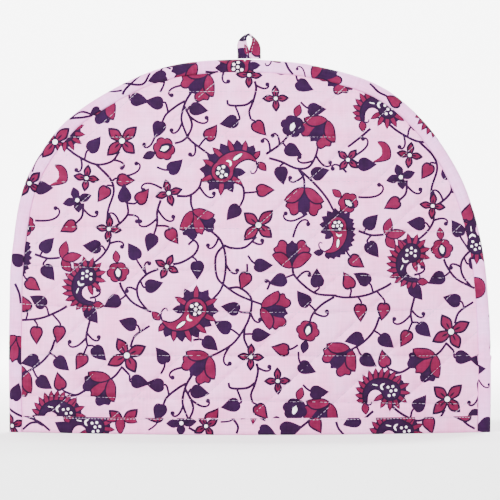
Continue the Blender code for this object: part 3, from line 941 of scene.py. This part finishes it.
# White thread: soft and matt cotton, coloured a darker mauve-grey than white: painted shade where it sinks
# into the cloth, with painted pink light bounced from the cloth round it. Its twist, finer than a pixel, is
# shown as painted uneven light and dark
def threadMaterial():
    material, tree = newMaterial("bleached cotton sewing thread")
    place = addNode(tree, "ShaderNodeNewGeometry").outputs["Position"]
    uneven = addNode(tree, "ShaderNodeTexNoise", {"Scale": 900.0, "Detail": 2.0}, {"Vector": place})
    # Mauve-grey in place of white: painted shade and painted pink bounced light on the thread
    shadedThreadTones = {"data_type": "RGBA", 6: linearColour("#8f7898"), 7: linearColour("#cdb9d2")}
    colour = addNode(tree, "ShaderNodeMix", shadedThreadTones, {0: uneven.outputs["Fac"]})
    bump = addNode(tree, "ShaderNodeBump", {"Strength": 0.5, "Distance": 0.05 * mm},
                   {"Height": uneven.outputs["Fac"]})
    shader = addNode(tree, "ShaderNodeBsdfPrincipled", {"Roughness": 0.7, "Specular IOR Level": 0.3},
                     {"Base Color": colour.outputs[2], "Normal": bump.outputs[0]})
    addNode(tree, "ShaderNodeOutputMaterial", links={"Surface": shader.outputs[0]})
    return material


whiteThread = threadMaterial()


def stitchTree():
    # Stitches of even length along every line of a mesh of edges
    tree = bpy.data.node_groups.new("running stitch", "GeometryNodeTree")
    sockets = (("Geometry", "Geometry"), ("Pitch", "Float"), ("Length", "Float"), ("Thickness", "Float"),
               ("Material", "Material"))
    for name, kind in sockets:
        tree.interface.new_socket(name, in_out="INPUT", socket_type="NodeSocket" + kind)
    tree.interface.new_socket("Geometry", in_out="OUTPUT", socket_type="NodeSocketGeometry")
    given = addNode(tree, "NodeGroupInput").outputs
    curve = addNode(tree, "GeometryNodeMeshToCurve", links={"Mesh": given["Geometry"]})
    points = addNode(tree, "GeometryNodeCurveToPoints", {"mode": "LENGTH"},
                     {"Curve": curve.outputs[0], "Length": given["Pitch"]})
    # Each stitch strays a little from its line, and its half-length varies
    stray = 0.12 * mm
    shift = addNode(tree, "FunctionNodeRandomValue", {
        "data_type": "FLOAT_VECTOR", "Seed": 5, 0: (-stray,) * 3, 1: (stray,) * 3})
    moved = addNode(tree, "GeometryNodeSetPosition",
                    links={"Geometry": points.outputs["Points"], "Offset": shift.outputs[0]})
    vary = addNode(tree, "FunctionNodeRandomValue", {"data_type": "FLOAT", "Seed": 9, 2: 0.38, 3: 0.56})
    long = addNode(tree, "ShaderNodeMath", {"operation": "MULTIPLY"},
                   {0: given["Length"], 1: vary.outputs[1]}).outputs[0]
    half = addNode(tree, "ShaderNodeMath", {"operation": "MULTIPLY", 1: 0.5},
                   {0: given["Thickness"]}).outputs[0]
    size = addNode(tree, "ShaderNodeCombineXYZ", links={0: half, 1: half, 2: long})
    bead = addNode(tree, "GeometryNodeMeshUVSphere", {"Segments": 6, "Rings": 4, "Radius": 1.0})
    laid = addNode(tree, "GeometryNodeInstanceOnPoints", links={
        "Points": moved.outputs[0], "Instance": bead.outputs["Mesh"], "Rotation": points.outputs["Rotation"],
        "Scale": size.outputs[0]})
    whole = addNode(tree, "GeometryNodeRealizeInstances", links={0: laid.outputs[0]})
    done = addNode(tree, "GeometryNodeSetMaterial",
                   links={"Geometry": whole.outputs[0], "Material": given["Material"]})
    addNode(tree, "NodeGroupOutput", links={0: done.outputs[0]})
    return tree


runningStitch = stitchTree()


def sewnRows(name, rows, thread):
    verts = np.vstack(rows)
    edges, first = [], 0
    for row in rows:
        edges += [(k, k + 1) for k in range(first, first + len(row) - 1)]
        first += len(row)
    mesh = bpy.data.meshes.new(name + "_lines")
    mesh.from_pydata([tuple(v) for v in verts * mm], edges, [])
    lines = bpy.data.objects.new(name + "_lines", mesh)
    bpy.context.collection.objects.link(lines)
    nodes = lines.modifiers.new("stitches", "NODES")
    nodes.node_group = runningStitch
    values = {"Pitch": thread["pitch"] * mm, "Length": thread["long"] * mm, "Thickness": thread["thick"] * mm,
              "Material": whiteThread}
    for item in runningStitch.interface.items_tree:
        if item.in_out == "INPUT" and item.name in values:
            nodes[item.identifier] = values[item.name]
    made = bpy.data.meshes.new_from_object(lines.evaluated_get(bpy.context.evaluated_depsgraph_get()))
    bpy.data.objects.remove(lines)
    obj = bpy.data.objects.new(name, made)
    bpy.context.collection.objects.link(obj)
    made.shade_smooth()
    print(name, "stitched:", len(made.polygons) // 24, "stitches")
    return obj


# Threads: from one stitch to the next, a stitch's length, its thickness
quiltThread = {"pitch": 2.8, "long": 2.75, "thick": 0.36, "sunk": -0.02}
hemThread = {"pitch": 2.4, "long": 1.9, "thick": 0.4}
loopThread = {"pitch": 2.3, "long": 1.9, "thick": 0.4}

frontPanel, frontRows = quiltedPanel("front_panel_cloth", -1, frontSwells, 11, 0.0, 0.0)
backPanel, backRows = quiltedPanel("back_panel_cloth", 1, backSwells, 29, 61.0, -37.0)
frontStitches = sewnRows("front_quilting_thread", frontRows, quiltThread)
backStitches = sewnRows("back_quilting_thread", backRows, quiltThread)


# The binding round the dome
edgeStrip = {
    "profile": (  # distance in from the rim, distance out from the middle plane
        (0.0, 0.0), (0.3, 1.5), (1.1, 3.0), (2.8, 4.1), (5.2, 4.55), (7.4, 4.5), (8.7, 4.25), (9.1, 3.75)),
    "wall": 0.75,
    "step": 2.2,
    # The strip's ground is a little bluer than the panels': painted light, the lilac look the strip has where
    # it turns towards the light
    "ground": "#f0aae6",
    "join": 54.5,            # height of the cross seam on the right
    "joinRise": 0.75,        # the doubled cloth beside it, and the groove that it lies in
    "joinDip": 0.95,
    "deepest": 0.45,
    "joinGuides": (-1.4, -0.6, 0.0, 0.6, 1.4, 2.6, 4.2),
    "backPrint": (40.0, 20.0),
}
# The print on the strip's front, charted in the front view
edgeMotifs = [Motif(*row) for row in (
    ("paisley", -8.2, 255.3, 8), ("tulip", -47, 255, 200), ("dark leaf", -64, 247.5, 195, 1.1),
    ("tendril", -89, 239, 190, 0.9, True), ("dark leaf", -108, 223.5, 215, 0.75), ("flower", -136, 203, 45),
    ("small flower", -154, 174, 50, 1.2), ("dark leaf", -163, 121, 150), ("dark leaf", -170, 85, -80),
    ("dark tulip", -164.5, 57, -100), ("dark leaf", -163.5, 28, 70), ("small flower", -166, 4.5, 20),
    ("round", 157.8, 101, 0, 0.95), ("dark leaf", 169, 81, 180, 0.9), ("leaf", 169.5, 62.5, 215),
    ("dark leaf", 157.5, 44, 5, 0.8), ("tendril", 160, 37, -60, 0.7), ("leaf", 171.5, 18.5, 180),
    ("dark leaf", 164.5, 4.5, 200, 1.15), ("saw paisley", 158.5, 131, 60), ("leaf", 153, 153.5, 75, 1.1),
    ("saw paisley", 137.2, 216, 130), ("leaf", 101, 232, 150), ("tendril", 148, 190, 110, 0.9),
    ("tulip", 54, 250.5, 20), ("tendril", 39, 248, 100, 0.7),
)]
edgeVines = (
    ((-88.9, 236), (-86.6, 240), (-78, 248), (-72, 252)),
    ((-88.9, 243.5), (-80, 243), (-73.7, 244), (-69.5, 251)),
    ((-63, 249), (-60, 255), (-55, 254)),
    ((-126, 219), (-118, 224), (-110, 222)),
    ((-126, 219), (-117, 220), (-108, 221)),
    ((24.8, 259), (27, 254.5), (30.5, 250)),
    ((-168, 17), (-163, 13), (-158, 11)),
    ((-31, 252), (-26, 251.6), (-22, 252)),
    ((-144, 196), (-149, 190), (-152, 182)),
    ((84, 244), (90, 238), (96, 235)),
    ((-164, 104), (-161, 97), (-160, 90)),
)


def stripOutline(long, low, high, step):
    # A strip laid flat, anticlockwise from its lower start
    along = np.linspace(0, long, int(long / step) + 1)
    across = np.linspace(low, high, int((high - low) / step) + 1)
    return np.vstack([
        np.column_stack([along, np.full(len(along), low)]),
        np.column_stack([np.full(len(across) - 2, long), across[1:-1]]),
        np.column_stack([along[::-1], np.full(len(along), high)]),
        np.column_stack([np.zeros(len(across) - 2), across[-2:0:-1]])])


def edgeBinding():
    e = edgeStrip
    profile = smoothed(e["profile"], 6)
    profileLength = lengthAlong(profile)
    half = profileLength[-1]
    long = rimLength[-1]
    outline = stripOutline(long, -half, half, e["step"])

    def laidFlat(point):
        # From the front view to the strip laid flat, and the strip's heading there
        away = np.array(point) - outerRim
        k = int(np.argmin(np.linalg.norm(away, axis=1)))
        inwards = away[k] @ rimInward[k]
        across = np.sign(inwards) * np.interp(abs(inwards), profile[:, 0], profileLength)
        return rimLength[k] + away[k] @ rimAlong[k], -across, degrees(atan2(rimAlong[k][1], rimAlong[k][0]))

    # The strip's back takes the repeat, and its front the chart
    inked = [(ink, loop) for ink, loop in printOver(outline, *e["backPrint"]) if loop[:, 1].min() > 1.5]
    for points in edgeVines:
        inked += strokeShapes(smoothed([laidFlat(p)[:2] for p in points], 4), lineWidths["vine"])
    spots = [(m, laidFlat((m.x, m.z))) for m in edgeMotifs]
    inked += motifShapes([m._replace(x=x, z=z, turn=m.turn - heading) for m, (x, z, heading) in spots])
    low, high = outline.min(axis=0), outline.max(axis=0)
    inked = [(ink, loop) for ink, loop in inked
             if np.all(loop.max(axis=0) > low) and np.all(loop.min(axis=0) < high)]
    middle = len(outerRim) // 2
    joinAlong = np.interp(e["join"], outerRim[middle:, 1][::-1], rimLength[middle:][::-1])
    across = np.linspace(-0.97 * half, 0.97 * half, 14)
    joinLines = [np.column_stack([np.full(14, joinAlong + d), across]) for d in e["joinGuides"]]
    flat = cutCloth(outline, inked, joinLines, e["step"])

    def place(points, back):
        along, t = points[:, 0], points[:, 1]
        section = rowsAt(np.abs(t), profileLength, profile)
        outward = unitRows(np.column_stack([-np.gradient(profile[:, 1]), np.gradient(profile[:, 0])]))
        normal = rowsAt(np.abs(t), profileLength, outward)
        # Small waves along the sewn edges, slow ones all over, and the cross seam
        share = np.abs(t) / half
        lift = 0.28 * softNoise(along * 1.6, t, 9, 5) * share**2 + 0.3 * softNoise(along, t * 2, 34, 6)
        rise = e["joinRise"] * np.exp(-((along - joinAlong - 2.2) / 2.2) ** 2)
        lift += rise - e["joinDip"] * np.exp(-((along - joinAlong) / 0.7) ** 2)
        lift = np.where(back, -e["wall"], np.maximum(lift, -e["deepest"]))
        section = section + normal * lift[:, None]
        rim, inward = rowsAt(along, rimLength, outerRim), unitRows(rowsAt(along, rimLength, rimInward))
        spot = rim + inward * section[:, :1]
        y = np.sign(t) * np.maximum(section[:, 1], 0)
        return np.column_stack([spot[:, 0], y, np.maximum(spot[:, 1], 0)])

    return sewnCloth("edge_binding_cloth", flat, 3.0, place, e["ground"], cottons)


edgeCloth = edgeBinding()


# The bindings along the two hems
hemStrip = {
    "height": 11.5,
    "gap": 0.3,
    "wall": 1.0,
    "under": 4.6,            # cloth that passes under the panel's edge
    "step": 2.2,
    "ground": "#f6a7da",
    "topstitch": 10.5,       # height of the row of topstitching
    "end": 0.1,              # from each end of the strip to the side strip
    "backIn": 0.8,           # from the printed face to the plain back
}
# The print on the front strip, charted in the front view
hemMotifs = [Motif(*row) for row in (
    ("saw paisley", -107.2, 4.6, 206, 1.0, True), ("dark leaf", -129.5, 4, 150), ("bud", -89.5, 14, -90),
    ("leaf", -65.5, 12.5, 190), ("dark flower", -47, 8, 10), ("small flower", -30, 6, 30),
    ("tendril", -20, 9, 0, 0.8), ("paisley", 3.5, 24, 0), ("dark leaf", 28, 4, 10, 1.2),
    ("leaf", 46, 7, -60), ("dark leaf", 71, 9, 200), ("saw paisley", 107.3, 1.5, 206, 1.0, True),
    ("leaf", 125, 6, -72), ("leaf", 149, 12, 185), ("tendril", -70, 3, 30, 0.8), ("dark leaf", 12, 2, -20),
)]
hemVines = (
    ((-158, 12), (-146.6, 7.4), (-139, 1.5)),
    ((-151.7, 13), (-149, 8), (-144, 5)),
    ((-146.6, 7.4), (-153, 6.5), (-158.5, 2)),
    ((108, 12), (115.7, 9), (121, 9.6)),
    ((149.3, 8), (153, 5), (157.5, 2.5)),
    ((59.7, 9), (61.3, 4.4), (65, 0)),
    ((-42, 5), (-36, 2), (-33, 4)),
    ((-12, 12), (-8, 6), (-9, 1)),
    ((35, 5), (40, 9), (43, 12)),
)


def hemBinding(name, side, swells, shiftX, shiftZ):
    h = hemStrip
    low, high = (float(v) for v in seamSides(dome["hemTop"]))
    long = high - low - 0.2
    drop = -h["under"] - h["height"]
    outline = stripOutline(long, drop, h["height"], h["step"])
    inked = printOver(outline, shiftX - low, shiftZ)
    if side < 0:
        # The front strip's inside takes the repeat, and its outside the chart
        inked = [(ink, loop) for ink, loop in inked if loop[:, 1].max() < 0]
        charted = []
        for points in hemVines:
            charted += strokeShapes(smoothed(points, 4), lineWidths["hem vine"])
        for ink, loop in charted + motifShapes(hemMotifs):
            if loop[:, 0].max() > low and loop[:, 0].min() < high:
                inked.append((ink, loop - (low + h["end"], 0)))
    flat = cutCloth(outline, inked, [], h["step"])
    # Across the strip: place on it, how far over from its outer face to its inner one, and how high
    under, tall = h["under"], h["height"]
    section = np.array([
        (drop, 1.0, tall), (-under - 1.3, 1.0, 1.3), (-under - 0.5, 0.93, 0.45), (-under + 0.6, 0.78, 0.0),
        (-0.6, 0.22, 0.0), (0.5, 0.07, 0.45), (1.3, 0.0, 1.3), (tall, 0.0, tall)])

    def place(points, back):
        u, t = points[:, 0], points[:, 1]
        x = low + h["end"] + u if side < 0 else high - h["end"] - u
        near, far = panelDepths(x, np.full_like(x, dome["hemTop"]), swells, 0)
        outer, inner = far + h["gap"] + h["wall"], near - h["gap"] - h["wall"]
        q, z = rowsAt(t, section[:, 0], section[:, 1:]).T
        if back:
            outer, inner = outer - h["backIn"], inner + h["backIn"]
            z = np.maximum(z, h["backIn"])
        y = outer + (inner - outer) * q
        if not back:
            # Its top edges turn in, and its faces wave a little
            tuck = np.exp(-((h["height"] - z) / 0.5)) * 0.35
            wave = 0.22 * softNoise(u * 1.4, t, 12, 8) * np.clip(z / 4, 0, 1)
            y = y + np.where(q < 0.5, wave - tuck, tuck - wave)
        return np.column_stack([x, side * y, z])

    cloth = sewnCloth(name, flat, 3.0, place, h["ground"], cottons)
    u = np.arange(1.0, long - 1.0, 1.0)
    row = place(np.column_stack([u, h["topstitch"] + 0.25 * softNoise(u, u, 60, 4)]), 0) + (0, side * 0.05, 0)
    return cloth, sewnRows(name.replace("cloth", "thread"), [row], hemThread)


hemFront, hemFrontStitches = hemBinding("hem_binding_front_cloth", -1, frontSwells, 19.9, -7.6)
hemBack, hemBackStitches = hemBinding("hem_binding_back_cloth", 1, backSwells, 90.0, 40.0)


# The hanging loop, a strip folded to a tape
loopTape = {
    "path": (  # x, height, how far the tape's face is turned from the viewer
        (-4.3, 261.3, 2.0), (-4.2, 264.6, 4.0), (-4.6, 268.6, 16.0), (-5.2, 272.6, 42.0),
        (-3.6, 276.4, 66.0), (-1.0, 278.2, 84.0), (2.0, 276.4, 96.0), (4.0, 272.6, 124.0),
        (3.9, 268.4, 160.0), (3.6, 264.4, 175.0), (3.8, 261.3, 178.0)),
    "width": 8.4,
    "thick": 1.5,
    "wall": 0.35,
    "step": 1.2,
    "ground": "#e8b0dc",
    "print": (  # ink and outline on the tape laid flat: along it, round it
        ("purple", ((-2, -1), (6.5, -1), (7.6, 4), (5.4, 8), (7.8, 12), (6.0, 19), (-2, 19))),
        # This near-black band over the top of the loop is partly its dark print and partly painted shade, the
        # shade inside the loop's fold
        ("outline", ((13.5, -1), (19.5, -1), (20.5, 6), (19, 12), (20.5, 19), (14, 19), (12, 11), (13.6, 5))),
        ("outline", ((23, -1), (36, -1), (37.5, 5), (34, 9), (37, 13), (35, 19), (24, 19), (22, 9))),
        ("crimson", (
            (24.4, -1), (34.8, -1), (36, 5), (32.6, 9), (35.6, 13), (33.8, 19), (25.4, 19), (23.4, 9))),
        ("purple", ((37.5, -1), (52, -1), (52, 19), (36.5, 19), (38.8, 12), (36.2, 7))),
        ("crimson", ((3.5, 9.0), (7.5, 8.6), (10.5, 10.2), (7.0, 11.6), (3.5, 11.4)))),
}


def hangLoop():
    p = loopTape
    path = smoothCurve(p["path"], 8)
    pathLength = lengthAlong(path[:, :2])
    turned, level = np.radians(path[:, 2]), np.zeros(len(path))
    widthWay = np.column_stack([np.cos(turned), -np.sin(turned), level])
    along = np.gradient(path[:, :2], axis=0)
    normal = unitRows(np.cross(widthWay, np.column_stack([along[:, 0], level, along[:, 1]])))
    corner = p["thick"] / 2
    flatHalf = p["width"] / 2 - corner
    turns = np.linspace(0, pi, 7)
    # Round the tape's section, starting and ending at the sewn side
    section = [(-flatHalf, -corner)] + [(flatHalf + corner * sin(a), -corner * cos(a)) for a in turns]
    section += [(-flatHalf - corner * sin(a), corner * cos(a)) for a in turns[:-1]]
    section = np.array(section[:-1] + [(-flatHalf - corner * 0.8, -corner * 0.35)])
    roundLength = lengthAlong(section)
    long = pathLength[-1]
    outline = stripOutline(long, 0, roundLength[-1], p["step"])
    inked = [(ink, smoothed(loop, 3, closed=True)) for ink, loop in p["print"]]
    flat = cutCloth(outline, inked, [], p["step"])

    def place(points, back):
        u, t = points[:, 0], points[:, 1]
        where = rowsAt(t, roundLength, section)
        outwards = rowsAt(t, roundLength, -leftOf(section))
        if back:
            where = where - outwards * p["wall"]
        else:
            where = where + outwards * (0.12 * softNoise(u * 2, t * 2, 9, 3))[:, None]
        centre = rowsAt(u, pathLength, path[:, :2])
        w, n = unitRows(rowsAt(u, pathLength, widthWay)), unitRows(rowsAt(u, pathLength, normal))
        spot = np.column_stack([centre[:, 0], np.zeros(len(u)), centre[:, 1]])
        return spot + w * where[:, :1] + n * where[:, 1:]

    cloth = sewnCloth("hang_loop_cloth", flat, 1.6, place, p["ground"], cottons)
    # The row of stitches lies just past the far fold
    u = np.arange(0.8, long - 0.8, 0.5)
    row = place(np.column_stack([u, np.full(len(u), 2 * flatHalf + pi * corner + 0.9)]), 0)
    return cloth, sewnRows("hang_loop_thread", [row], loopThread)


loopCloth, loopStitches = hangLoop()

# What each piece is to the frame
pieces = (
    (frontPanel, "front_panel", "quilted_cotton", (0.345, 0.272), 0.0795),
    (backPanel, "back_panel", "quilted_cotton", (0.345, 0.272), 0.0795),
    (edgeCloth, "edge_binding", "edge_cloth", (0.0225, 0.745), None),
    (hemFront, "hem_binding_front", "hem_cloth", (0.335, 0.0276), None),
    (hemBack, "hem_binding_back", "hem_cloth", (0.335, 0.0276), None),
    (loopCloth, "hang_loop", "loop_cloth", (0.0165, 0.045), None),
)
for obj, node, slotName, flatSize, area in pieces:
    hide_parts(node)
    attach(obj, "root")
threads = (
    (frontStitches, "quilted_cotton"),
    (backStitches, "quilted_cotton"),
    (hemFrontStitches, "hem_cloth"),
    (hemBackStitches, "hem_cloth"),
    (loopStitches, "loop_cloth"),
)
for obj, slotName in threads:
    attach(obj, "root")


# Floor, light and camera
def makeFloor():
    # Matt paper, an even white without highlights, that curves up behind the cosy
    material, tree = newMaterial("matt white paper")
    settings = {"Base Color": linearColour("#fbfbfb"), "Roughness": 0.95}
    shader = addNode(tree, "ShaderNodeBsdfPrincipled", settings)
    addNode(tree, "ShaderNodeOutputMaterial", links={"Surface": shader.outputs[0]})
    turns = np.linspace(0, pi / 2, 12)
    profile = [(-8.0, 0.0)] + [(3.4 + sin(a), 1.0 - cos(a)) for a in turns] + [(4.4, 4.0)]
    vertices = [(x, y, z) for y, z in profile for x in (-6.0, 6.0)]
    faces = [(2 * k, 2 * k + 1, 2 * k + 3, 2 * k + 2) for k in range(len(profile) - 1)]
    floor = makePiece("floor", np.array(vertices) / mm, faces, [material])
    floor.data.shade_smooth()


makeFloor()


def areaLight(name, place, aim, size, power):
    light = bpy.data.lights.new(name, "AREA")
    light.shape, light.size, light.energy = "DISK", size, power
    obj = bpy.data.objects.new(name, light)
    obj.location = place
    obj.rotation_euler = (Vector(aim) - Vector(place)).to_track_quat("-Z", "Y").to_euler()
    bpy.context.collection.objects.link(obj)


areaLight("key light", (-0.75, -1.7, 2.2), (0, 0, 0.12), 0.5, 170)
areaLight("fill light", (1.6, -1.9, 0.9), (0, 0, 0.12), 1.6, 20)
areaLight("back light", (0.7, 1.9, 1.9), (0, 0, 0.12), 0.6, 70)
areaLight("light on the paper", (0, 1.9, 2.8), (0, 4.2, 0.5), 2.4, 640)
world = bpy.data.worlds.new("studio")
world.use_nodes = True
world.node_tree.nodes["Background"].inputs["Color"].default_value = (1.0, 1.0, 1.0, 1.0)
world.node_tree.nodes["Background"].inputs["Strength"].default_value = 1.0
bpy.context.scene.world = world

view = {
    "distance": 3.0,
    "across": 0.350,         # width of the picture at the object
    "middle": (0.0003, 0.1274),
}
camera = bpy.data.cameras.new("camera")
camera.sensor_width = 36.0
camera.lens = camera.sensor_width * view["distance"] / view["across"]
cameraObject = bpy.data.objects.new("camera", camera)
cameraObject.location = (view["middle"][0], -view["distance"], view["middle"][1])
cameraObject.rotation_euler = (pi / 2, 0, 0)
bpy.context.collection.objects.link(cameraObject)
bpy.context.scene.camera = cameraObject
